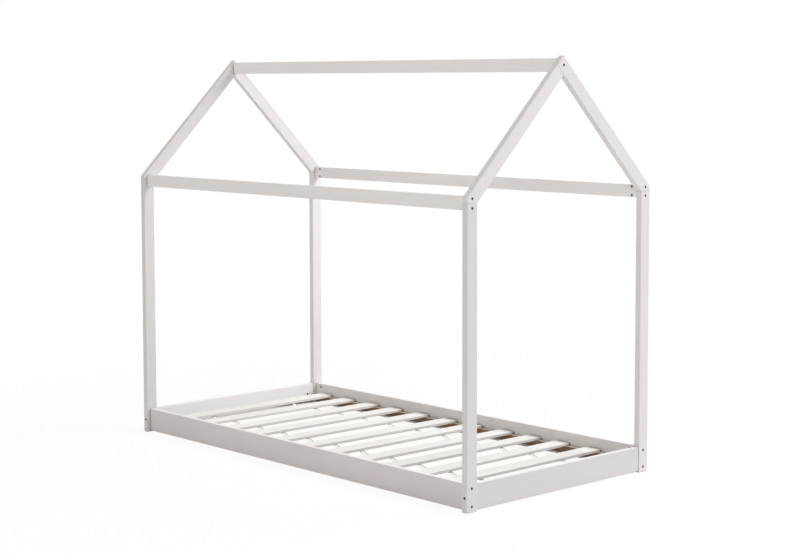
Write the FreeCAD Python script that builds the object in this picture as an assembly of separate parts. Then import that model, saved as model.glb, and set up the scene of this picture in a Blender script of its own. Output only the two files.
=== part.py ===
# House frame bed: two house-shaped end frames, joined by side rails, eaves beams and a ridge beam,
# round a loose slatted base that lies on two ledgers.
#
# Millimetres. The origin lies on the floor at the middle of the footprint. +X runs along the bed to its
# right-hand end, +Y from the front long side to the back one, and +Z up.
import FreeCAD, Part
import math
import os

# ---- Driving dimensions ----

# The frame as a whole.
bed_length = 1980.0
bed_width = 990.0
post_height = 1090.0
roof_pitch = 45.0

# Posts and rafters are cut from one board. The thickness lies along the bed, the width across it.
frame_board_thickness = 25.0
post_width = 50.0
rafter_width = 50.0

# Eaves beams and ridge beam.
beam_thickness = 20.0
beam_height = 50.0

# Side rails and end rails.
rail_thickness = 20.0
rail_height = 95.0
rail_floor_gap = 5.0

# Ledgers, screwed to the side rails. They stop short of the barrel nuts.
ledger_thickness = 25.0
ledger_height = 30.0
ledger_top = 48.0
ledger_end_gap = 45.0
ledger_screw_count = 5
ledger_screw_inset = 60.0

# Slats. Most have slid a little from their even places along the slack straps, to the right where positive,
# and turned by a few tenths of a degree, the front end to the left where positive.
slat_width = 70.0
slat_thickness = 12.0
slat_end_gap = 6.0
slat_gap_left = 52.5
slat_gap_right = 26.5
slat_slides = (0.0, -9.0, -3.5, -7.0, -4.0, 4.5, 1.5, 15.5, 11.5, 14.0, 15.5, 0.0)
slat_turns = (0.0, 1.0, 0.2, 0.3, 0.4, 1.0, 0.3, 0.6, 0.3, -1.0, -0.9, 0.0)

# Webbing straps under the slats.
strap_width = 20.0
strap_thickness = 1.2
strap_spacing = 450.0
strap_sag = 12.0

# Staples that hold the straps to the slats: wire size, width over the legs, depth in the slat.
staple_wire = 1.0
staple_width = 11.0
staple_bite = 7.0
staple_clearance = 0.1

# Socket bolts. The head is sunk below the wood, and the tip runs on past the barrel nut's middle.
bolt_radius = 3.0
bolt_head_radius = 5.0
bolt_head_height = 6.0
bolt_head_depth = 9.0
bolt_socket_radius = 2.3
bolt_socket_depth = 3.0
bolt_past_nut = 8.0
bolt_head_clearance = 0.4
bolt_hole_clearance = 0.4
bolt_tip_room = 4.0

# Barrel nuts. The setback runs from the butt joint to the nut's middle.
nut_radius = 5.0
nut_length = 14.0
nut_setback = 35.0
nut_slot_width = 1.2
nut_slot_depth = 1.5
nut_bore_clearance = 0.15
nut_thread_clearance = 0.05

# How far bolts lie from the middle of the joint that they hold.
side_rail_bolt_offset = 32.5
eaves_bolt_offset = 17.0

# Dowels, half in each piece, and how far they lie from the middle of the joint.
dowel_radius = 4.0
dowel_length = 30.0
dowel_clearance = 0.1
dowel_end_room = 1.0
end_rail_dowel_offset = 30.0
foot_dowel_offset = 14.0
apex_dowel_offset = 14.0
ridge_dowel_offset = 16.0
ridge_dowel_length = 24.0

# Countersunk screws of the ledgers.
screw_radius = 2.0
screw_head_radius = 4.0
screw_head_height = 2.4
screw_length = 35.0
screw_point = 4.0
screw_slot_width = 1.0
screw_slot_depth = 1.2
screw_clearance = 0.25
screw_bite_clearance = 0.05

# Rounding of the boards, along the grain and across it.
edge_round = 2.0
end_round = 1.2
ledger_edge_round = 1.5
slat_edge_round = 2.5

# ---- Places worked out from them ----

half_length = bed_length / 2
half_width = bed_width / 2
slope = math.tan(math.radians(roof_pitch))

# Inner faces of the end frames, and the middles of their posts.
frame_inner_x = half_length - frame_board_thickness
frame_middle_x = half_length - frame_board_thickness / 2
post_inner_y = half_width - post_width
post_middle_y = half_width - post_width / 2

# The roof: where the outer and inner edges of the rafters meet above the ridge line, and the upper end
# of the seam between the two rafters.
shoulder_rise = rafter_width / math.cos(math.radians(roof_pitch)) - post_width * slope
shoulder_height = post_height + shoulder_rise
peak_height = shoulder_height + half_width * slope
inner_peak_height = post_height + post_inner_y * slope
seam_top_y = (peak_height - inner_peak_height) / (2 * slope)
seam_top_height = (peak_height + inner_peak_height) / 2

# Beams and rails.
ridge_top = peak_height - beam_thickness / 2 * slope
ridge_middle = ridge_top - beam_height / 2
rail_top = rail_floor_gap + rail_height
rail_middle = rail_floor_gap + rail_height / 2
side_rail_inner_y = post_middle_y - rail_thickness / 2
end_rail_inner_x = frame_middle_x - rail_thickness / 2

# Ledgers and slats.
ledger_inner_y = side_rail_inner_y - ledger_thickness
ledger_half_length = frame_inner_x - ledger_end_gap
ledger_middle = ledger_top - ledger_height / 2
slat_half_length = side_rail_inner_y - slat_end_gap
slat_count = len(slat_slides)
first_slat_x = -end_rail_inner_x + slat_gap_left + slat_width / 2
last_slat_x = end_rail_inner_x - slat_gap_right - slat_width / 2
slat_pitch = (last_slat_x - first_slat_x) / (slat_count - 1)
slat_middles = [first_slat_x + number * slat_pitch + slide for number, slide in enumerate(slat_slides)]

# ---- Helpers ----

V = FreeCAD.Vector
ALONG = V(1, 0, 0)
ACROSS = V(0, 1, 0)
UP = V(0, 0, 1)
ENDS = {"left": -1, "right": 1}
SIDES = {"front": -1, "back": 1}

pieces = {}
cuts = {}


def ease(shape, grain, long_round):
    """Round the edges that run with the grain, then those that cross it."""

    def runs_with_grain(edge):
        return abs(edge.tangentAt(edge.FirstParameter).dot(grain)) > 0.999

    shape = shape.makeFillet(long_round, [edge for edge in shape.Edges if runs_with_grain(edge)])
    return shape.makeFillet(end_round, [edge for edge in shape.Edges if not runs_with_grain(edge)])


def board(low, high, grain, long_round=edge_round):
    """A straight board between two opposite corners."""
    size = high - low
    return ease(Part.makeBox(size.x, size.y, size.z, low), grain, long_round)


def cylinder(start, direction, length, radius):
    return Part.makeCylinder(radius, length, start, direction)


def drill(tool, *names):
    """Keep a bore for the named pieces. They are cut once everything is placed."""
    for name in names:
        cuts.setdefault(name, []).append(tool)


def add(name, solid):
    """Add a solid to a piece. Like fasteners share one piece as separate solids."""
    pieces.setdefault(name, []).append(solid)


# ---- Wooden frame ----


def make_posts():
    for end, x_sign in ENDS.items():
        for side, y_sign in SIDES.items():
            low = V(frame_middle_x * x_sign, post_middle_y * y_sign, 0)
            low -= V(frame_board_thickness / 2, post_width / 2, 0)
            high = low + V(frame_board_thickness, post_width, post_height)
            add(f"post_{side}_{end}", board(low, high, UP))


def rafter(outline, y_sign, x_sign):
    """A rafter cut from its outline in the plane of the end frame, given for the back of the bed."""
    start_x = frame_middle_x * x_sign - frame_board_thickness / 2
    corners = [V(start_x, y * y_sign, z) for y, z in outline]
    face = Part.Face(Part.makePolygon(corners + corners[:1]))
    solid = face.extrude(ALONG * frame_board_thickness)
    grain = V(0, -y_sign, slope).normalize()
    return ease(solid, grain, edge_round)


def make_rafters():
    foot = [(post_inner_y, post_height), (half_width, post_height), (half_width, shoulder_height)]
    # The back rafter runs through to the peak. The front one stops square against its lower edge.
    through = foot + [(0, peak_height), (-seam_top_y, seam_top_height)]
    butted = foot + [(seam_top_y, seam_top_height), (0, inner_peak_height)]
    for end, x_sign in ENDS.items():
        add(f"rafter_back_{end}", rafter(through, 1, x_sign))
        add(f"rafter_front_{end}", rafter(butted, -1, x_sign))


def make_beams():
    half_thickness = beam_thickness / 2
    half_height = beam_height / 2
    for side, y_sign in SIDES.items():
        middle_y = post_middle_y * y_sign
        low = V(-frame_inner_x, middle_y - half_thickness, post_height - half_height)
        high = V(frame_inner_x, middle_y + half_thickness, post_height + half_height)
        add(f"eaves_beam_{side}", board(low, high, ALONG))
    low = V(-frame_inner_x, -half_thickness, ridge_top - beam_height)
    high = V(frame_inner_x, half_thickness, ridge_top)
    add("ridge_beam", board(low, high, ALONG))


def make_rails():
    half_thickness = rail_thickness / 2
    for side, y_sign in SIDES.items():
        middle_y = post_middle_y * y_sign
        low = V(-frame_inner_x, middle_y - half_thickness, rail_floor_gap)
        high = V(frame_inner_x, middle_y + half_thickness, rail_top)
        add(f"side_rail_{side}", board(low, high, ALONG))
    for end, x_sign in ENDS.items():
        middle_x = frame_middle_x * x_sign
        low = V(middle_x - half_thickness, -post_inner_y, rail_floor_gap)
        high = V(middle_x + half_thickness, post_inner_y, rail_top)
        add(f"end_rail_{end}", board(low, high, ACROSS))


# ---- Fasteners ----


def screw_in_ledger(x, side, y_sign):
    """One countersunk screw through a ledger into its side rail."""
    start = V(x, ledger_inner_y * y_sign, ledger_middle)
    inward = ACROSS * y_sign
    head = Part.makeCone(screw_head_radius, screw_radius, screw_head_height, start, inward)
    shank = cylinder(start, inward, screw_length - screw_point, screw_radius)
    tip_start = start + inward * (screw_length - screw_point)
    tip = Part.makeCone(screw_radius, 0, screw_point, tip_start, inward)
    solid = head.fuse([shank, tip]).removeSplitter()
    for along, up in ((screw_radius, screw_slot_width / 2), (screw_slot_width / 2, screw_radius)):
        slot = Part.makeBox(2 * along, 2 * screw_slot_depth, 2 * up)
        slot.translate(start - V(along, screw_slot_depth, up))
        solid = solid.cut(slot)
    add("ledger_screws", solid)

    wide = screw_radius + screw_clearance
    countersink = Part.makeCone(
        screw_head_radius + screw_clearance, wide, screw_head_height, start, inward
    )
    drill(countersink.fuse(cylinder(start, inward, ledger_thickness, wide)), f"ledger_{side}")
    bite = cylinder(start, inward, screw_length + dowel_end_room, screw_radius + screw_bite_clearance)
    drill(bite, f"side_rail_{side}")


def make_ledgers():
    first_x = -ledger_half_length + ledger_screw_inset
    screw_pitch = -2 * first_x / (ledger_screw_count - 1)
    for side, y_sign in SIDES.items():
        near, far = sorted((ledger_inner_y * y_sign, side_rail_inner_y * y_sign))
        low = V(-ledger_half_length, near, ledger_top - ledger_height)
        high = V(ledger_half_length, far, ledger_top)
        add(f"ledger_{side}", board(low, high, ALONG, ledger_edge_round))
        for number in range(ledger_screw_count):
            screw_in_ledger(first_x + number * screw_pitch, side, y_sign)


def bolt(name, entry, inward, outer_depth):
    """A socket bolt that enters the wood at a point and passes through the outer piece."""
    seat = entry + inward * bolt_head_depth
    length = outer_depth - bolt_head_depth + nut_setback + bolt_past_nut
    top = seat - inward * bolt_head_height
    head = cylinder(top, inward, bolt_head_height, bolt_head_radius)
    solid = head.fuse(cylinder(seat, inward, length, bolt_radius)).removeSplitter()
    # The socket is a hexagonal pit whose corners lie on the socket radius.
    side_way = inward.cross(UP)
    corners = []
    for number in range(7):
        angle = math.radians(60 * number)
        corners.append(top + (side_way * math.cos(angle) + UP * math.sin(angle)) * bolt_socket_radius)
    pit = Part.Face(Part.makePolygon(corners)).extrude(inward * bolt_socket_depth)
    add(name, solid.cut(pit))


def barrel_nut(name, centre, opening, bolt_way):
    """A barrel nut whose slotted end looks to the face that its bore opens in."""
    solid = cylinder(centre - opening * (nut_length / 2), opening, nut_length, nut_radius)
    start = centre - bolt_way * (2 * nut_radius)
    solid = solid.cut(cylinder(start, bolt_way, 4 * nut_radius, bolt_radius + nut_thread_clearance))
    # The slot for a screwdriver lies in line with the bolt.
    slot_size = bolt_way * (2 * nut_radius) + bolt_way.cross(opening) * (nut_slot_width / 2)
    slot_size += opening * nut_slot_depth
    reach = V(abs(slot_size.x), abs(slot_size.y), abs(slot_size.z))
    slot = Part.makeBox(2 * reach.x, 2 * reach.y, 2 * reach.z)
    slot.translate(centre + opening * (nut_length / 2) - reach)
    add(name, solid.cut(slot))


def bolted_joint(kind, entry, inward, outer_depth, opening, board_thickness, outer, inner):
    """A bolt through the outer piece, and its barrel nut in the inner one."""
    bolt(f"{kind}_bolts", entry, inward, outer_depth)
    centre = entry + inward * (outer_depth + nut_setback)
    barrel_nut(f"{kind}_barrel_nuts", centre, opening, inward)

    head_bore = cylinder(entry, inward, bolt_head_depth, bolt_head_radius + bolt_head_clearance)
    reach = outer_depth + nut_setback + bolt_past_nut + bolt_tip_room
    hole = cylinder(entry, inward, reach, bolt_radius + bolt_hole_clearance)
    nut_bottom = centre - opening * (nut_length / 2 + nut_bore_clearance)
    bore_depth = nut_length / 2 + nut_bore_clearance + board_thickness / 2
    nut_bore = cylinder(nut_bottom, opening, bore_depth, nut_radius + nut_bore_clearance)
    drill(head_bore, outer)
    drill(hole, outer, inner)
    drill(nut_bore, inner)


def dowel(name, centre, direction, length, *holders):
    """A dowel with half its length in each of two pieces."""
    add(name, cylinder(centre - direction * (length / 2), direction, length, dowel_radius))
    reach = length / 2 + dowel_end_room
    hole = cylinder(centre - direction * reach, direction, 2 * reach, dowel_radius + dowel_clearance)
    drill(hole, *holders)


def fasten_corner(end, x_sign, side, y_sign):
    """The rail, eaves and rafter joints of one corner of the bed."""
    post = f"post_{side}_{end}"
    rafter_name = f"rafter_{side}_{end}"
    side_rail = f"side_rail_{side}"
    end_rail = f"end_rail_{end}"
    eaves_beam = f"eaves_beam_{side}"
    inward_x = ALONG * -x_sign
    inward_y = ACROSS * -y_sign
    outer_x = half_length * x_sign
    middle_y = post_middle_y * y_sign

    for offset in (-side_rail_bolt_offset, side_rail_bolt_offset):
        entry = V(outer_x, middle_y, rail_middle + offset)
        bolted_joint(
            "side_rail", entry, inward_x, frame_board_thickness, inward_y, rail_thickness, post, side_rail
        )
    for offset, outer in ((-eaves_bolt_offset, post), (eaves_bolt_offset, rafter_name)):
        entry = V(outer_x, middle_y, post_height + offset)
        bolted_joint(
            "eaves", entry, inward_x, frame_board_thickness, inward_y, beam_thickness, outer, eaves_beam
        )
    entry = V(frame_middle_x * x_sign, half_width * y_sign, rail_middle)
    bolted_joint(
        "end_rail", entry, inward_y, post_width, inward_x, rail_thickness, post, end_rail
    )

    for offset in (-end_rail_dowel_offset, end_rail_dowel_offset):
        centre = V(frame_middle_x * x_sign, post_inner_y * y_sign, rail_middle + offset)
        dowel("end_rail_dowels", centre, inward_y, dowel_length, post, end_rail)
    for offset in (-foot_dowel_offset, foot_dowel_offset):
        centre = V(frame_middle_x * x_sign, middle_y + offset, post_height)
        dowel("rafter_foot_dowels", centre, UP, dowel_length, post, rafter_name)


def fasten_peak(end, x_sign):
    """The joint of the two rafters and the ridge beam in one end frame."""
    through = f"rafter_back_{end}"
    butted = f"rafter_front_{end}"
    inward_x = ALONG * -x_sign
    entry = V(half_length * x_sign, 0, ridge_middle)
    bolted_joint(
        "ridge", entry, inward_x, frame_board_thickness, ACROSS, beam_thickness, through, "ridge_beam"
    )
    centre = V(frame_inner_x * x_sign, 0, ridge_middle + ridge_dowel_offset)
    dowel("ridge_dowels", centre, inward_x, ridge_dowel_length, through, "ridge_beam")

    seam_top = V(frame_middle_x * x_sign, -seam_top_y, seam_top_height)
    seam_foot = V(frame_middle_x * x_sign, 0, inner_peak_height)
    seam_way = (seam_top - seam_foot).normalize()
    across_seam = seam_way.cross(ALONG)
    for offset in (-apex_dowel_offset, apex_dowel_offset):
        centre = (seam_top + seam_foot) * 0.5 + seam_way * offset
        dowel("apex_dowels", centre, across_seam, dowel_length, through, butted)


def make_fasteners():
    for end, x_sign in ENDS.items():
        for side, y_sign in SIDES.items():
            fasten_corner(end, x_sign, side, y_sign)
        fasten_peak(end, x_sign)


# ---- Slatted base ----


def make_slats():
    for number, (middle, turn) in enumerate(zip(slat_middles, slat_turns)):
        low = V(middle - slat_width / 2, -slat_half_length, ledger_top)
        high = V(middle + slat_width / 2, slat_half_length, ledger_top + slat_thickness)
        slat = board(low, high, ACROSS, slat_edge_round)
        slat.rotate(V(middle, 0, 0), UP, -turn)
        add(f"slat_{number + 1:02d}", slat)


def strap_line(height):
    """The strap's line along the bed: flat under each slat, and a slack arc across each gap."""
    edges = []
    previous_end = None
    for middle in slat_middles:
        start = V(middle - slat_width / 2, 0, height)
        end = V(middle + slat_width / 2, 0, height)
        if previous_end is not None:
            lowest = (previous_end + start) * 0.5 - UP * strap_sag
            edges.append(Part.Arc(previous_end, lowest, start).toShape())
        edges.append(Part.LineSegment(start, end).toShape())
        previous_end = end
    return edges


def make_straps():
    underside = ledger_top - strap_thickness
    upper = strap_line(ledger_top)
    lower = strap_line(underside)
    left_x = slat_middles[0] - slat_width / 2
    right_x = slat_middles[-1] + slat_width / 2
    ends = [
        Part.LineSegment(V(x, 0, underside), V(x, 0, ledger_top)).toShape() for x in (left_x, right_x)
    ]
    profile = Part.Face(Part.Wire(Part.__sortEdges__(upper + lower + ends)))
    for side, y_sign in SIDES.items():
        solid = profile.extrude(ACROSS * strap_width)
        solid.translate(ACROSS * (y_sign * strap_spacing / 2 - strap_width / 2))
        add(f"slat_strap_{side}", solid)


def make_staples():
    """One staple for each slat and strap, with its crown across the strap."""
    crown_top = ledger_top - strap_thickness
    leg_top = ledger_top + staple_bite
    leg_length = leg_top - crown_top
    for number, middle in enumerate(slat_middles):
        for side, y_sign in SIDES.items():
            centre_y = y_sign * strap_spacing / 2
            low = V(middle - staple_wire / 2, centre_y - staple_width / 2, crown_top - staple_wire)
            staple = Part.makeBox(staple_wire, staple_width, staple_wire, low)
            for leg_y in (low.y, low.y + staple_width - staple_wire):
                foot = V(low.x, leg_y, crown_top)
                staple = staple.fuse(Part.makeBox(staple_wire, staple_wire, leg_length, foot))
                room = V(staple_clearance, staple_clearance, 0)
                wide = staple_wire + 2 * staple_clearance
                hole = Part.makeBox(wide, wide, leg_length + staple_clearance, foot - room)
                drill(hole, f"slat_{number + 1:02d}", f"slat_strap_{side}")
            add("strap_staples", staple.removeSplitter())


# ---- Build ----


def export_pieces():
    os.makedirs("parts", exist_ok=True)
    for name, solids in pieces.items():
        if name in cuts:
            solids = [solid.cut(cuts[name]) for solid in solids]
        shape = solids[0] if len(solids) == 1 else Part.makeCompound(solids)
        shape.exportStep(f"parts/{name}.step")
        print(f"{name}: {len(shape.Solids)} solid(s), valid {shape.isValid()}")


make_posts()
make_rafters()
make_beams()
make_rails()
make_ledgers()
make_fasteners()
make_slats()
make_straps()
make_staples()
export_pieces()
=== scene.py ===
# House frame bed: materials, webbing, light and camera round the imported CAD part. Metres.
import math
import random

import bpy
from mathutils import Matrix, Vector


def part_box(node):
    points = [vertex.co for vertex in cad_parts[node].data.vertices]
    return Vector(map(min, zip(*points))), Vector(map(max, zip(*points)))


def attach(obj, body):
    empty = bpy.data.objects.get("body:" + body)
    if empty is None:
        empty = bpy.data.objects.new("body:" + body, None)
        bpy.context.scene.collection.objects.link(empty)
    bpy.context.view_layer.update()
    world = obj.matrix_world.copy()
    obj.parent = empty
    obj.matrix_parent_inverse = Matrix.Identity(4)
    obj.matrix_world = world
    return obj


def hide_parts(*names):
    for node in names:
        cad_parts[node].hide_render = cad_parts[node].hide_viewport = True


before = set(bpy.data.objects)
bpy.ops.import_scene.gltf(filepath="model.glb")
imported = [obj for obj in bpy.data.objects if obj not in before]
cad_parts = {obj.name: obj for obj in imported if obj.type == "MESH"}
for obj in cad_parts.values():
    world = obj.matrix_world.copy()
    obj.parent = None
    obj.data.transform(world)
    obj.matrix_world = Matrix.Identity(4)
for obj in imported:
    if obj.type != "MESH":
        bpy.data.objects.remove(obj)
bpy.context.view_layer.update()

# ---- Named values ----

# Camera, solved from the photographed corners of the frame.
CAMERA_PLACE = (5.2509, -4.7605, 1.5215)
CAMERA_YAW = math.radians(47.613)  # from +Y towards -X
CAMERA_PITCH = math.radians(4.618)  # downwards
CAMERA_ROLL = math.radians(-0.142)
CAMERA_LENS = 78.55
CAMERA_SHIFT = (0.0163, -0.0750)

# Ways on the bed.
ALONG_BED = (1.0, 0.0, 0.0)
TO_BACK = (0.0, 1.0, 0.0)
UP = (0.0, 0.0, 1.0)

# Each kind of board: the way that its grain runs, and the way that its wide face looks.
SLANT = math.sqrt(0.5)
BOARD_AXES = {
    "post": (UP, ALONG_BED),
    "rafter_front": ((0.0, SLANT, SLANT), ALONG_BED),
    "rafter_back": ((0.0, -SLANT, SLANT), ALONG_BED),
    "end_rail": (TO_BACK, ALONG_BED),
    "slat_": (TO_BACK, UP),
    "": (ALONG_BED, TO_BACK),
}

# How light the paint is on each board, from 0 to 1. Part of each level is painted light and shade, set to how
# the light falls on that board.
BOARD_TONES_AND_SHADE = {
    "post_front_left": 0.755,
    "post_front_right": 0.745,
    "post_back_left": 0.84,
    "post_back_right": 0.775,
    "rafter_front_left": 0.785,
    "rafter_front_right": 0.78,
    "rafter_back_left": 0.795,
    "rafter_back_right": 0.775,
    "eaves_beam_front": 0.89,
    "eaves_beam_back": 0.94,
    "ridge_beam": 0.93,
    "side_rail_front": 0.755,
    "side_rail_back": 0.80,
    "end_rail_left": 0.935,
    "end_rail_right": 0.715,
}

# Painted light: how light the paint is on the top edges of the rails.
RAIL_TOP_LIGHT = {"side_rail_front": 0.92, "side_rail_back": 0.93, "end_rail_left": 0.97, "end_rail_right": 0.82}

# Painted shade: how light the paint is on the faces of the beams that look to the back.
BEAM_BACK_SHADE = {"eaves_beam_front": 0.80, "eaves_beam_back": 0.78, "ridge_beam": 0.76}

# Rails with painted shade low on their inner faces, and painted light on a white foot below it: which way
# those faces look, along the axis of the wide faces, and how strong both are on the way to the front or left
# end, and to the back or right end.
INNER_SHADE_RAILS = {
    "side_rail_front": (1.0, 1.0, 1.0),
    "side_rail_back": (-1.0, 1.0, 1.0),
    "end_rail_left": (1.0, 0.30, 0.95),
    "end_rail_right": (-1.0, 0.30, 0.95),
}

# A rail's inner side begins this far from the middle of its thickness. How strong the painted shade and light
# are changes between these distances from its middle, to the back or the right.
RAIL_INNER_SIDE = 0.004
INNER_SHADE_CHANGE = (0.15, 0.32)

# How light each slat's paint is, partly painted shade across the base, and how far the wood's colour shows
# through.
SLAT_TONES_AND_SHADE = (0.94, 0.94, 0.92, 0.91, 0.90, 0.88, 0.88, 0.87, 0.83, 0.855, 0.84, 0.84)
SLAT_BEIGES = (0.24, 0.20, 0.12, 0.10, 0.12, 0.08, 0.10, 0.07, 0.10, 0.08, 0.10, 0.08)

# How light each slat's narrow edges are, as a share of its tone: painted shade on those edges.
SLAT_EDGE_SHADES = (0.85, 0.82, 0.785, 0.77, 0.785, 0.785, 0.78, 0.79, 0.785, 0.845, 0.86, 0.80)

# Slats get painted shade towards their ends, between these distances from their middle.
SLAT_END_SHADE = (0.390, 0.455)

# Heights above the floor between which a look fades: the top of the painted shade low inside the rails, the
# top of their foot painted light, the top of the painted shade low on the ledgers, and the top of their lower
# edge painted light.
INNER_SHADE_TOP = (0.0415, 0.0445)
LIT_FOOT_TOP = (0.0110, 0.0130)
LOW_SHADE_TOP = (0.024, 0.029)
LIT_EDGE_TOP = (0.0195, 0.0215)

# Wood without paint: pale, darker, late wood of the rings, and knots. The ledgers' sides get a darker copy as
# painted shade; their tops keep the pine's own colour.
SHADED_SIDE_PINE = ((0.24, 0.135, 0.074), (0.20, 0.102, 0.050), (0.13, 0.060, 0.028), (0.08, 0.038, 0.018))
PLAIN_TOP_PINE = ((0.72, 0.655, 0.575), (0.66, 0.585, 0.495), (0.55, 0.44, 0.33), (0.36, 0.23, 0.14))

# A wave texture of scale 1 has a ring every so many metres.
WAVE_PERIOD = 0.314

# Paint is a little warmer than neutral, and on some boards pinker or cooler. Crevices and bores get painted
# shade.
PAINT_HUE = (1.0, 0.965, 0.945)
BOARD_HUES = {"side_rail_front": (1.0, 0.938, 0.936), "end_rail_left": (1.0, 0.985, 0.978)}
SLAT_HUE = (1.0, 0.978, 0.942)
CREVICE_SHADE = (0.075, 0.065, 0.060, 1.0)

# Slats and straps, as in the CAD.
SLAT_COUNT = 12
SLAT_NAMES = [f"slat_{number:02d}" for number in range(1, SLAT_COUNT + 1)]
SLAT_WIDTH = 0.070
STRAP_WIDTH = 0.020
STRAP_THICKNESS = 0.0012
STRAP_SAG = 0.012
STRAP_MIDDLES = {"front": -0.225, "back": 0.225}

# The webbing's steps along the strap, its weave, and where the painted shadow along one edge fades in from
# the edge.
STEPS_PER_GAP = 10
STEPS_PER_SLAT = 4
WARP_SPACING = 0.0011
WEFT_SPACING = 0.0016
EDGE_SHADOW_LINE = (0.0040, 0.0035)

# Metals of the fasteners: their tint, a darker one and their roughness, and the pieces that have them. The
# barrel nuts' dark tints are partly their own dark finish and partly painted shade in their bores.
METALS = {
    "black_oxide": ((0.075, 0.075, 0.075), (0.04, 0.04, 0.04), 0.45),
    "dark_zinc_and_shade": ((0.080, 0.080, 0.078), (0.045, 0.045, 0.045), 0.55),
    "black_zinc_and_shade": ((0.022, 0.022, 0.022), (0.012, 0.012, 0.012), 0.6),
    "bronzed_steel": ((0.16, 0.105, 0.060), (0.10, 0.065, 0.036), 0.55),
    "bright_steel": ((0.66, 0.66, 0.67), (0.52, 0.52, 0.53), 0.3),
}
METAL_PIECES = {
    "black_oxide": ("side_rail_bolts", "end_rail_bolts", "eaves_bolts", "ridge_bolts"),
    "dark_zinc_and_shade": ("side_rail_barrel_nuts", "eaves_barrel_nuts", "ridge_barrel_nuts"),
    "black_zinc_and_shade": ("end_rail_barrel_nuts",),
    "bronzed_steel": ("ledger_screws",),
    "bright_steel": ("strap_staples",),
}
DOWELS = ("end_rail_dowels", "rafter_foot_dowels", "ridge_dowels", "apex_dowels")

# The cream floor inside the rails, painted shade under the bed, ends between these distances from the middle,
# along and across the bed.
INSIDE_ENDS = (0.968, 0.986)
INSIDE_SIDES = (0.461, 0.479)

# How far the floor reaches. Its shadow near the bed fades out between these distances from the middle.
FLOOR_REACH = 30.0
SHADOW_FADE = (1.2, 3.5)

# Lamps: place, power and tint. Each is square and looks at the same point.
LAMP_SIDE = 3.5
LAMP_TARGET = (0.0, 0.0, 0.5)
FILL_TINT = (1.0, 0.98, 0.96)
LAMPS = {
    "right_back_key": ((3.52, 3.52, 5.43), 360.0, (0.985, 1.0, 1.045)),
    "back_softbox": ((0.0, 3.87, 6.34), 135.0, (1.0, 1.0, 1.0)),
    "right_front_fill": ((4.26, -4.26, 4.05), 120.0, FILL_TINT),
    "left_front_fill": ((-2.79, -4.88, 4.68), 105.0, FILL_TINT),
}


# ---- Node helpers ----


def node(tree, kind, inputs=None, **settings):
    """Adds a node. Inputs are values or other nodes' outputs, by name or number."""
    made = tree.nodes.new(kind)
    for name, value in settings.items():
        setattr(made, name, value)
    for key, value in (inputs or {}).items():
        if isinstance(value, bpy.types.NodeSocket):
            tree.links.new(value, made.inputs[key])
        else:
            made.inputs[key].default_value = value
    return made


def maths(tree, operation, first, second=0.0, third=0.0, clamp=False):
    inputs = {0: first, 1: second, 2: third}
    return node(tree, "ShaderNodeMath", inputs, operation=operation, use_clamp=clamp).outputs[0]


def times(tree, first, second):
    return maths(tree, "MULTIPLY", first, second)


def vector_maths(tree, operation, first, second):
    return node(tree, "ShaderNodeVectorMath", {0: first, 1: second}, operation=operation).outputs[0]


def dot(tree, first, second):
    return node(tree, "ShaderNodeVectorMath", {0: first, 1: second}, operation="DOT_PRODUCT").outputs["Value"]


def height_above_floor(tree, place):
    return node(tree, "ShaderNodeSeparateXYZ", {0: place}).outputs[2]


def ramp(tree, value, low, high, to_low=0.0, to_high=1.0):
    """A smooth step from to_low at low to to_high at high."""
    inputs = {"Value": value, "From Min": low, "From Max": high, "To Min": to_low, "To Max": to_high}
    return node(tree, "ShaderNodeMapRange", inputs, interpolation_type="SMOOTHSTEP").outputs[0]


def mix_colour(tree, share, first, second):
    return node(tree, "ShaderNodeMix", {0: share, 6: first, 7: second}, data_type="RGBA").outputs[2]


def noise(tree, vector, scale, detail):
    inputs = {"Vector": vector, "Scale": scale, "Detail": detail, "Roughness": 0.5}
    return node(tree, "ShaderNodeTexNoise", inputs)


def colour(red, green, blue):
    return (red, green, blue, 1.0)


def new_material(name):
    """A material with its tree, an empty Principled shader and its output."""
    material = bpy.data.materials.new(name)
    material.use_nodes = True
    tree = material.node_tree
    tree.nodes.clear()
    shader = tree.nodes.new("ShaderNodeBsdfPrincipled")
    output = tree.nodes.new("ShaderNodeOutputMaterial")
    tree.links.new(shader.outputs[0], output.inputs[0])
    return material, tree, shader


def wire(tree, shader, base, roughness, height, distance):
    """Connects the colour, the roughness and the bump to the shader."""
    tree.links.new(base, shader.inputs["Base Color"])
    tree.links.new(roughness, shader.inputs["Roughness"])
    bump = node(tree, "ShaderNodeBump", {"Height": height, "Distance": distance, "Strength": 1.0})
    tree.links.new(bump.outputs[0], shader.inputs["Normal"])


# ---- Patterns ----


def edge_mask(tree, radius):
    """1 on rounded edges and 0 on flat faces."""
    round_normal = node(tree, "ShaderNodeBevel", {"Radius": radius}, samples=4).outputs[0]
    flat_normal = node(tree, "ShaderNodeNewGeometry").outputs["Normal"]
    return ramp(tree, dot(tree, round_normal, flat_normal), 0.995, 0.90)


def occlusion_shade_mask(tree, reach, open_share=0.85, shut_share=0.35):
    """1 deep in bores and seams, and 0 on open faces, from ambient occlusion. It marks where painted shade
    goes.
    """
    shade = node(tree, "ShaderNodeAmbientOcclusion", {"Distance": reach}, samples=8).outputs["AO"]
    return ramp(tree, shade, open_share, shut_share)


def board_ways(name):
    """The ways of a board's grain, its wide face and its narrow face."""
    grain_way, face_way = next(axes for start, axes in BOARD_AXES.items() if name.startswith(start))
    return grain_way, face_way, tuple(Vector(grain_way).cross(Vector(face_way)))


def place_in_log(name):
    """Where a board is cut from the log: each has its own place along it and beside its heart."""
    chance = random.Random(name)
    along = chance.uniform(-50, 50)
    beside = chance.choice((-1, 1)) * chance.uniform(0.055, 0.11)
    return along, beside, chance.uniform(-0.03, 0.03)


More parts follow.
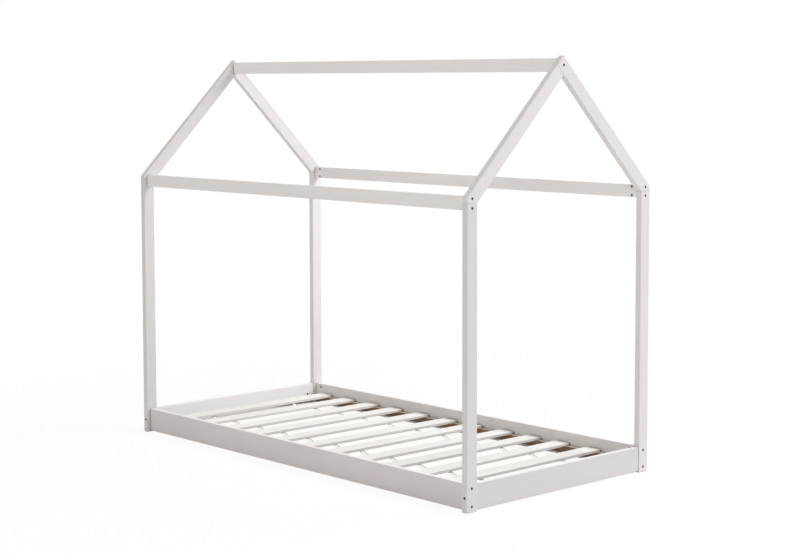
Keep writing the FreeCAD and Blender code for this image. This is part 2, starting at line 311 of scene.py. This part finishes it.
def pine_knots(tree, place, share):
    """How far a knot pushes the rings aside, and 1 in its core. Only a share of the cells has a knot."""
    cells = node(tree, "ShaderNodeTexVoronoi", {"Vector": place, "Scale": 1.0, "Randomness": 1.0})
    draw = node(tree, "ShaderNodeSeparateColor", {0: cells.outputs["Color"]}).outputs[0]
    kept = maths(tree, "LESS_THAN", draw, share)
    push = times(tree, ramp(tree, cells.outputs["Distance"], 0.30, 0.0, 0.0, 0.014), kept)
    core = times(tree, ramp(tree, cells.outputs["Distance"], 0.062, 0.040), kept)
    return push, core


def growth_rings(tree, board, sway_place, push, spacing):
    """The late wood of the rings, which sway along the board and run round its knots."""
    sway = noise(tree, sway_place, 1.0, 2.0).outputs["Color"]
    sway = vector_maths(tree, "SUBTRACT", sway, (0.5, 0.5, 0.5))
    sway = vector_maths(tree, "MULTIPLY", sway, (0.0, 0.022, 0.022))
    aside = node(tree, "ShaderNodeCombineXYZ", {1: push, 2: push}).outputs[0]
    bent = vector_maths(tree, "ADD", vector_maths(tree, "ADD", board, sway), aside)
    rings = node(
        tree,
        "ShaderNodeTexWave",
        {"Vector": bent, "Scale": WAVE_PERIOD / spacing, "Distortion": 0.0},
        wave_type="RINGS",
        rings_direction="X",
        wave_profile="SAW",
    ).outputs["Fac"]
    return maths(tree, "POWER", rings, 2.2)


def pine_pattern(tree, name, ring_spacing=0.0036, knot_share=0.5):
    """Growth rings, fibres, blotches and knots of one flat-sawn board, whose grain is its own X axis."""
    low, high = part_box(name)
    place = node(tree, "ShaderNodeTexCoord").outputs["Object"]
    own_place = vector_maths(tree, "SUBTRACT", place, tuple((low + high) / 2))
    along, across, aside = [dot(tree, own_place, way) for way in board_ways(name)]
    board = node(tree, "ShaderNodeCombineXYZ", {0: along, 1: across, 2: aside}).outputs[0]
    board = vector_maths(tree, "ADD", board, place_in_log(name))

    def stretched(lengthways, crossways):
        return vector_maths(tree, "MULTIPLY", board, (lengthways, crossways, crossways))

    push, core = pine_knots(tree, stretched(2.2, 7.0), knot_share)
    return {
        "rings": growth_rings(tree, board, stretched(1.1, 6.0), push, ring_spacing),
        "fibres": noise(tree, stretched(14.0, 520.0), 1.0, 2.0).outputs[0],
        "blotches": noise(tree, stretched(2.0, 11.0), 1.0, 2.0).outputs[0],
        "knots": core,
        "along": along,
        "across": across,
        "place": place,
    }


def facing(tree, way):
    """1 on faces that look a given way, and -1 on those that look the other way."""
    return dot(tree, node(tree, "ShaderNodeNewGeometry").outputs["Normal"], way)


# ---- Materials ----


def levelled(tree, base, share, level):
    """The base colour, times level where share is 1."""
    return mix_colour(tree, share, base, vector_maths(tree, "MULTIPLY", base, [level] * 3))


def shade_low_inside(tree, name, pine, base):
    """A rail's colour with painted shade low on its inner face, painted light on a white foot below it, and
    painted shade in its seams and slots.
    """
    way, start_share, end_share = INNER_SHADE_RAILS[name]
    inside = maths(tree, "GREATER_THAN", times(tree, pine["across"], way), RAIL_INNER_SIDE)
    inside = times(tree, inside, ramp(tree, pine["along"], *INNER_SHADE_CHANGE, start_share, end_share))
    height = height_above_floor(tree, pine["place"])
    low = times(tree, ramp(tree, height, *reversed(INNER_SHADE_TOP)), ramp(tree, height, *LIT_FOOT_TOP))
    foot = ramp(tree, height, *reversed(LIT_FOOT_TOP))
    # Dark wood colour for the strip low inside the rail: painted shade under the ledgers and slats.
    bare = mix_colour(tree, pine["rings"], colour(0.105, 0.080, 0.060), colour(0.070, 0.050, 0.036))
    # A white foot below it: painted light.
    base = mix_colour(tree, times(tree, inside, foot), base, colour(0.97, 0.96, 0.94))
    base = mix_colour(tree, times(tree, inside, low), base, bare)
    # Painted shade where ambient occlusion finds hollows, as in the slots behind the slat ends.
    return mix_colour(tree, occlusion_shade_mask(tree, 0.016, 0.60, 0.20), base, CREVICE_SHADE)


def painted_pine(name, tone):
    """Satin white paint over planed pine: the grain only just shows, and the paint is thin on the edges.
    Painted light on rail tops, painted shade on beam backs, low inside rails, in seams and in bores."""
    material, tree, shader = new_material(f"painted_{name}")
    pine = pine_pattern(tree, name)

    def shade(level, hue=BOARD_HUES.get(name, PAINT_HUE)):
        return colour(*[tone * level * share for share in hue])

    base = mix_colour(tree, ramp(tree, pine["blotches"], 0.35, 0.65), shade(0.985), shade(1.015))
    base = mix_colour(tree, times(tree, pine["rings"], 0.16), base, shade(0.90, (1.0, 0.935, 0.865)))
    base = mix_colour(tree, times(tree, pine["knots"], 0.10), base, shade(0.86, (1.0, 0.86, 0.65)))
    worn = times(tree, edge_mask(tree, 0.0035), ramp(tree, pine["blotches"], 0.42, 0.60, 0.05, 0.35))
    base = mix_colour(tree, worn, base, shade(0.93, (1.0, 0.91, 0.80)))
    # Painted light on the rails' top edges.
    if name in RAIL_TOP_LIGHT:
        base = levelled(tree, base, ramp(tree, facing(tree, UP), 0.5, 0.95), RAIL_TOP_LIGHT[name] / tone)
    # Painted shade on the beams' faces that look to the back.
    if name in BEAM_BACK_SHADE:
        base = levelled(tree, base, ramp(tree, facing(tree, TO_BACK), 0.2, 0.9), BEAM_BACK_SHADE[name] / tone)
    # Painted shade low on the rails' inner faces, above a foot painted light.
    if name in INNER_SHADE_RAILS:
        base = shade_low_inside(tree, name, pine, base)
    # Painted shade in seams and bores.
    base = mix_colour(tree, occlusion_shade_mask(tree, 0.004), base, CREVICE_SHADE)
    orange_peel = noise(tree, pine["place"], 900.0, 1.0).outputs[0]
    roughness = maths(tree, "MULTIPLY_ADD", pine["fibres"], 0.14, 0.38)
    roughness = maths(tree, "MULTIPLY_ADD", worn, 0.3, roughness)
    height = maths(tree, "MULTIPLY_ADD", pine["rings"], 0.45, times(tree, pine["fibres"], 0.35))
    height = maths(tree, "MULTIPLY_ADD", orange_peel, 0.25, height)
    wire(tree, shader, base, roughness, height, 0.00012)
    return material


def slat_pine(name, tone, beige, edge_level):
    """Thin ivory paint over sawn pine, with painted shade on the narrow edges, towards the ends and in
    crevices.
    beige is how far the wood's colour shows through."""
    material, tree, shader = new_material(f"painted_{name}")
    pine = pine_pattern(tree, name, ring_spacing=0.0042, knot_share=0.75)

    def shade(level, hue=SLAT_HUE):
        return colour(*[tone * level * share for share in hue])

    paint = mix_colour(tree, ramp(tree, pine["blotches"], 0.35, 0.65), shade(0.985), shade(1.01))
    show = maths(tree, "MULTIPLY_ADD", pine["rings"], 0.22 + 0.3 * beige, 0.35 * beige)
    base = mix_colour(tree, show, paint, shade(0.93, (1.0, 0.87, 0.68)))
    base = mix_colour(tree, times(tree, pine["knots"], 0.34), base, colour(0.58, 0.40, 0.24))
    # Painted shade on the narrow edges.
    narrow = ramp(tree, maths(tree, "ABSOLUTE", facing(tree, ALONG_BED)), 0.45, 0.90)
    base = mix_colour(tree, narrow, base, shade(edge_level, (1.0, 0.950, 0.912)))
    # Painted shade towards the slat's ends.
    ends = ramp(tree, maths(tree, "ABSOLUTE", pine["along"]), *SLAT_END_SHADE, 0.0, 0.75)
    base = mix_colour(tree, ends, base, shade(0.80, (1.0, 0.935, 0.87)))
    worn = times(tree, edge_mask(tree, 0.0028), ramp(tree, pine["blotches"], 0.40, 0.62, 0.10, 0.5))
    base = mix_colour(tree, worn, base, shade(0.90, (1.0, 0.88, 0.70)))
    # Painted shade in seams and crevices.
    base = mix_colour(tree, occlusion_shade_mask(tree, 0.003), base, CREVICE_SHADE)
    roughness = maths(tree, "MULTIPLY_ADD", pine["fibres"], 0.20, 0.50)
    height = maths(tree, "MULTIPLY_ADD", pine["rings"], 0.5, times(tree, pine["fibres"], 0.7))
    wire(tree, shader, base, roughness, height, 0.00022)
    return material


def bare_wood(tree, pine, tints):
    """Unpainted pine, of tints for its pale and darker places, its late wood and its knots."""
    pale, dark, late, knot = [colour(*tint) for tint in tints]
    base = mix_colour(tree, ramp(tree, pine["blotches"], 0.3, 0.7), pale, dark)
    base = mix_colour(tree, times(tree, pine["rings"], 0.6), base, late)
    return mix_colour(tree, times(tree, pine["knots"], 0.8), base, knot)


def bare_pine(name):
    """Unpainted pine: dark brown sides as painted shade, darker low down as more painted shade, above a lower
    edge painted light, and pale on top in the pine's own colour."""
    material, tree, shader = new_material(f"bare_{name}")
    pine = pine_pattern(tree, name, ring_spacing=0.0040, knot_share=0.6)
    height = height_above_floor(tree, pine["place"])
    # Painted shade low on the ledgers' sides.
    low_shade = ramp(tree, pine["blotches"], 0.2, 0.6, 0.9, 0.6)
    low_shade = times(tree, ramp(tree, height, *reversed(LOW_SHADE_TOP)), low_shade)
    shaded_sides = mix_colour(tree, low_shade, bare_wood(tree, pine, SHADED_SIDE_PINE), colour(0.060, 0.052, 0.047))
    # A lower edge painted light.
    lit_edge = ramp(tree, height, *reversed(LIT_EDGE_TOP), 0.0, 0.8)
    shaded_sides = mix_colour(tree, lit_edge, shaded_sides, colour(0.60, 0.57, 0.53))
    # Tops keep the pine's own colour; the sides are painted shade.
    top = ramp(tree, facing(tree, UP), 0.5, 0.9)
    base = mix_colour(tree, top, shaded_sides, bare_wood(tree, pine, PLAIN_TOP_PINE))
    roughness = maths(tree, "MULTIPLY_ADD", pine["fibres"], 0.22, 0.55)
    bump = maths(tree, "MULTIPLY_ADD", pine["rings"], 0.5, times(tree, pine["fibres"], 0.7))
    wire(tree, shader, base, roughness, bump, 0.00025)
    return material


def beech(name):
    """Fluted beech dowel, with short flecks."""
    material, tree, shader = new_material(name)
    place = node(tree, "ShaderNodeTexCoord").outputs["Object"]
    flecks = noise(tree, place, 900.0, 3.0).outputs[0]
    broad = noise(tree, place, 120.0, 2.0).outputs[0]
    base = mix_colour(tree, broad, colour(0.66, 0.45, 0.27), colour(0.58, 0.37, 0.21))
    base = mix_colour(tree, ramp(tree, flecks, 0.55, 0.72, 0.0, 0.6), base, colour(0.40, 0.23, 0.12))
    wire(tree, shader, base, maths(tree, "MULTIPLY_ADD", flecks, 0.2, 0.5), flecks, 0.0002)
    return material


def metal(name, tint, dark_tint, roughness):
    """Fastener metal: mottled plating with fine scratches and worn edges."""
    material, tree, shader = new_material(name)
    shader.inputs["Metallic"].default_value = 1.0
    place = node(tree, "ShaderNodeTexCoord").outputs["Object"]
    mottle = noise(tree, place, 420.0, 3.0).outputs[0]
    stretched = vector_maths(tree, "MULTIPLY", place, (300.0, 2600.0, 2600.0))
    scratches = noise(tree, stretched, 1.0, 2.0).outputs[0]
    base = mix_colour(tree, ramp(tree, mottle, 0.35, 0.65), dark_tint, tint)
    rubbed = colour(*[min(1.0, share * 1.6 + 0.04) for share in tint[:3]])
    base = mix_colour(tree, times(tree, edge_mask(tree, 0.0004), 0.35), base, rubbed)
    rough = maths(tree, "MULTIPLY_ADD", scratches, 0.2, roughness - 0.1)
    wire(tree, shader, base, rough, maths(tree, "MULTIPLY_ADD", scratches, 0.6, mottle), 0.00006)
    return material


def webbing(side):
    """Flat white webbing: a plain weave, a grey line along one edge as painted shadow, and painted shade near
    the slats.
    """
    material, tree, shader = new_material(f"webbing_{side}")
    shader.inputs["Sheen Weight"].default_value = 0.15
    place = node(tree, "ShaderNodeTexCoord").outputs["Object"]
    split = node(tree, "ShaderNodeSeparateXYZ", {0: place})
    across = maths(tree, "SUBTRACT", split.outputs[1], STRAP_MIDDLES[side])
    warp = maths(tree, "SINE", times(tree, across, 2 * math.pi / WARP_SPACING))
    weft = maths(tree, "SINE", times(tree, split.outputs[0], 2 * math.pi / WEFT_SPACING))
    over = times(tree, warp, weft)
    fuzz = noise(tree, place, 1800.0, 2.0).outputs[0]
    dirt = noise(tree, place, 25.0, 3.0).outputs[0]
    base = mix_colour(tree, ramp(tree, over, -0.7, 0.7), colour(0.88, 0.87, 0.85), colour(0.96, 0.95, 0.93))
    # A grey line along one edge: painted shadow.
    edge_shadow = ramp(tree, across, *[STRAP_WIDTH / 2 - inset for inset in EDGE_SHADOW_LINE])
    base = mix_colour(tree, edge_shadow, base, colour(0.15, 0.145, 0.14))
    # Painted shade on the strap next to the slats.
    base = mix_colour(tree, occlusion_shade_mask(tree, 0.012, 0.80, 0.50), base, colour(0.16, 0.15, 0.14))
    base = mix_colour(tree, ramp(tree, dirt, 0.5, 0.75, 0.0, 0.15), base, colour(0.72, 0.69, 0.64))
    roughness = maths(tree, "MULTIPLY_ADD", fuzz, 0.15, 0.75)
    wire(tree, shader, base, roughness, maths(tree, "MULTIPLY_ADD", fuzz, 0.4, over), 0.00018)
    return material


# ---- Materials on the CAD pieces ----


def paint(names, material):
    for name in names:
        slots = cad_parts[name].data.materials
        if not slots:
            slots.append(material)
        for number in range(len(slots)):
            slots[number] = material


def paint_frame():
    for name, tone in BOARD_TONES_AND_SHADE.items():
        paint([name], painted_pine(name, tone))
    for name in ("ledger_front", "ledger_back"):
        paint([name], bare_pine(name))


def paint_fasteners():
    for name, (tint, dark_tint, roughness) in METALS.items():
        paint(METAL_PIECES[name], metal(name, colour(*tint), colour(*dark_tint), roughness))
    paint(DOWELS, beech("beech"))


def paint_slats():
    for name, tone, beige, edge_level in zip(SLAT_NAMES, SLAT_TONES_AND_SHADE, SLAT_BEIGES, SLAT_EDGE_SHADES):
        paint([name], slat_pine(name, tone, beige, edge_level))


# ---- Webbing straps ----


def strap_line():
    """Points along a strap's upper side: flat under each slat, and a slack arc across each gap."""
    points = []
    previous_end = None
    for name in SLAT_NAMES:
        low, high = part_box(name)
        start = (low.x + high.x - SLAT_WIDTH) / 2
        if previous_end is not None:
            gap = start - previous_end
            for step in range(1, STEPS_PER_GAP):
                share = step / STEPS_PER_GAP
                points.append((previous_end + gap * share, low.z - 4 * STRAP_SAG * share * (1 - share)))
        points += [(start + SLAT_WIDTH * step / STEPS_PER_SLAT, low.z) for step in range(STEPS_PER_SLAT + 1)]
        previous_end = start + SLAT_WIDTH
    return points


def strap_section():
    """The webbing's section across its width, as (offset, share of the thickness) round the outline."""
    half = STRAP_WIDTH / 2
    right = [(half - 0.002, 0.0), (half - 0.0005, 0.05), (half, 0.5)]
    left = [(-across, share) for across, share in reversed(right)]
    upper = left + [(0.0, 0.06)] + right
    lower = [(across, 1.0 - share) for across, share in reversed(upper[1:-1])]
    return upper + lower


def strap_vertices(middle):
    """The section, set square to the strap's line at each of its points."""
    points = strap_line()
    vertices = []
    for number, (x, z) in enumerate(points):
        before, after = points[max(number - 1, 0)], points[min(number + 1, len(points) - 1)]
        along = Vector((after[0] - before[0], 0.0, after[1] - before[1])).normalized()
        down = Vector((along.z, 0.0, -along.x))
        for across, share in strap_section():
            vertices.append(Vector((x, middle + across, z)) + down * (share * STRAP_THICKNESS))
    return vertices


def strap_faces(total):
    """Faces round the strap between its sections, and one at either end."""
    count = len(strap_section())
    faces = []
    for first in range(0, total - count, count):
        second = first + count
        for corner in range(count):
            following = (corner + 1) % count
            faces.append((first + corner, first + following, second + following, second + corner))
    faces.append(tuple(range(count)))
    faces.append(tuple(reversed(range(total - count, total))))
    return faces


def make_strap(side, middle, material):
    vertices = strap_vertices(middle)
    mesh = bpy.data.meshes.new(f"strap_webbing_{side}")
    mesh.from_pydata(vertices, [], strap_faces(len(vertices)))
    mesh.materials.append(material)
    mesh.polygons.foreach_set("use_smooth", [True] * len(mesh.polygons))
    strap = bpy.data.objects.new(f"strap_webbing_{side}", mesh)
    bpy.context.scene.collection.objects.link(strap)
    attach(strap, "slat_base")
    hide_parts(f"slat_strap_{side}")


def make_straps():
    for side, middle in STRAP_MIDDLES.items():
        make_strap(side, middle, webbing(side))


# ---- Floor, light and camera ----


def seen_directly(tree):
    """1 for rays from the camera, off glossy surfaces or through glass."""
    path = node(tree, "ShaderNodeLightPath").outputs
    seen = maths(tree, "ADD", path["Is Camera Ray"], path["Is Glossy Ray"], clamp=True)
    return maths(tree, "ADD", seen, path["Is Transmission Ray"], clamp=True)


def floor_material():
    """White where it is seen directly, and cream inside the rails as painted shade under the bed, with a
    faint shadow near the bed.
    """
    material = bpy.data.materials.new("pale_floor")
    material.use_nodes = True
    tree = material.node_tree
    tree.nodes.clear()
    place = node(tree, "ShaderNodeTexCoord").outputs["Object"]
    distance = node(tree, "ShaderNodeVectorMath", {0: place}, operation="LENGTH").outputs["Value"]
    split = node(tree, "ShaderNodeSeparateXYZ", {0: place})
    past_ends = ramp(tree, maths(tree, "ABSOLUTE", split.outputs[0]), *INSIDE_ENDS)
    past_sides = ramp(tree, maths(tree, "ABSOLUTE", split.outputs[1]), *INSIDE_SIDES)
    outside = maths(tree, "MAXIMUM", past_ends, past_sides)
    share = times(tree, seen_directly(tree), ramp(tree, distance, *SHADOW_FADE, 0.93, 1.0))
    plain = node(tree, "ShaderNodeBsdfDiffuse", {"Color": colour(0.90, 0.90, 0.89)})
    # Cream inside the rails: painted shade under the bed.
    tint = mix_colour(tree, outside, colour(1.0, 0.989, 0.951), colour(1.0, 1.0, 1.0))
    white = node(tree, "ShaderNodeEmission", {"Color": tint, "Strength": 1.0})
    both = node(tree, "ShaderNodeMixShader", {0: share, 1: plain.outputs[0], 2: white.outputs[0]})
    node(tree, "ShaderNodeOutputMaterial", {0: both.outputs[0]})
    material.cycles.emission_sampling = "NONE"
    return material


def make_floor():
    """A plain pale floor."""
    mesh = bpy.data.meshes.new("floor")
    far = FLOOR_REACH
    mesh.from_pydata([(-far, -far, 0), (far, -far, 0), (far, far, 0), (-far, far, 0)], [], [(0, 1, 2, 3)])
    floor = bpy.data.objects.new("floor", mesh)
    bpy.context.scene.collection.objects.link(floor)
    mesh.materials.append(floor_material())


def make_world():
    """White where it is seen directly, and a soft even light on the bed."""
    world = bpy.data.worlds.new("studio")
    bpy.context.scene.world = world
    world.use_nodes = True
    tree = world.node_tree
    tree.nodes.clear()
    soft = node(tree, "ShaderNodeBackground", {"Color": colour(1.0, 0.99, 0.98), "Strength": 0.10})
    white = node(tree, "ShaderNodeBackground", {"Color": colour(1, 1, 1), "Strength": 1.0})
    seen = seen_directly(tree)
    both = node(tree, "ShaderNodeMixShader", {0: seen, 1: soft.outputs[0], 2: white.outputs[0]})
    node(tree, "ShaderNodeOutputWorld", {0: both.outputs[0]})


def make_lights():
    """The key stands behind the bed to the right. Softer lamps fill in from behind, beside the camera and the
    left."""
    for name, (place, power, tint) in LAMPS.items():
        lamp = bpy.data.lights.new(name, "AREA")
        lamp.shape = "RECTANGLE"
        lamp.size = lamp.size_y = LAMP_SIDE
        lamp.energy = power
        lamp.color = tint
        holder = bpy.data.objects.new(name, lamp)
        bpy.context.scene.collection.objects.link(holder)
        holder.location = place
        holder.rotation_euler = (Vector(LAMP_TARGET) - Vector(place)).to_track_quat("-Z", "Y").to_euler()


def make_camera():
    forward = Vector(
        (
            -math.sin(CAMERA_YAW) * math.cos(CAMERA_PITCH),
            math.cos(CAMERA_YAW) * math.cos(CAMERA_PITCH),
            -math.sin(CAMERA_PITCH),
        )
    )
    level = Vector((math.cos(CAMERA_YAW), math.sin(CAMERA_YAW), 0.0))
    upright = level.cross(forward)
    right = level * math.cos(CAMERA_ROLL) + upright * math.sin(CAMERA_ROLL)
    up = upright * math.cos(CAMERA_ROLL) - level * math.sin(CAMERA_ROLL)
    turned = Matrix((right, up, -forward)).transposed()
    data = bpy.data.cameras.new("camera")
    data.lens = CAMERA_LENS
    data.sensor_width = 36.0
    data.shift_x, data.shift_y = CAMERA_SHIFT
    data.clip_end = 100.0
    camera = bpy.data.objects.new("camera", data)
    bpy.context.scene.collection.objects.link(camera)
    camera.matrix_world = Matrix.Translation(CAMERA_PLACE) @ turned.to_4x4()
    bpy.context.scene.camera = camera


paint_frame()
paint_fasteners()
paint_slats()
make_straps()
make_floor()
make_world()
make_lights()
make_camera()
bpy.context.scene.view_settings.view_transform = "Standard"
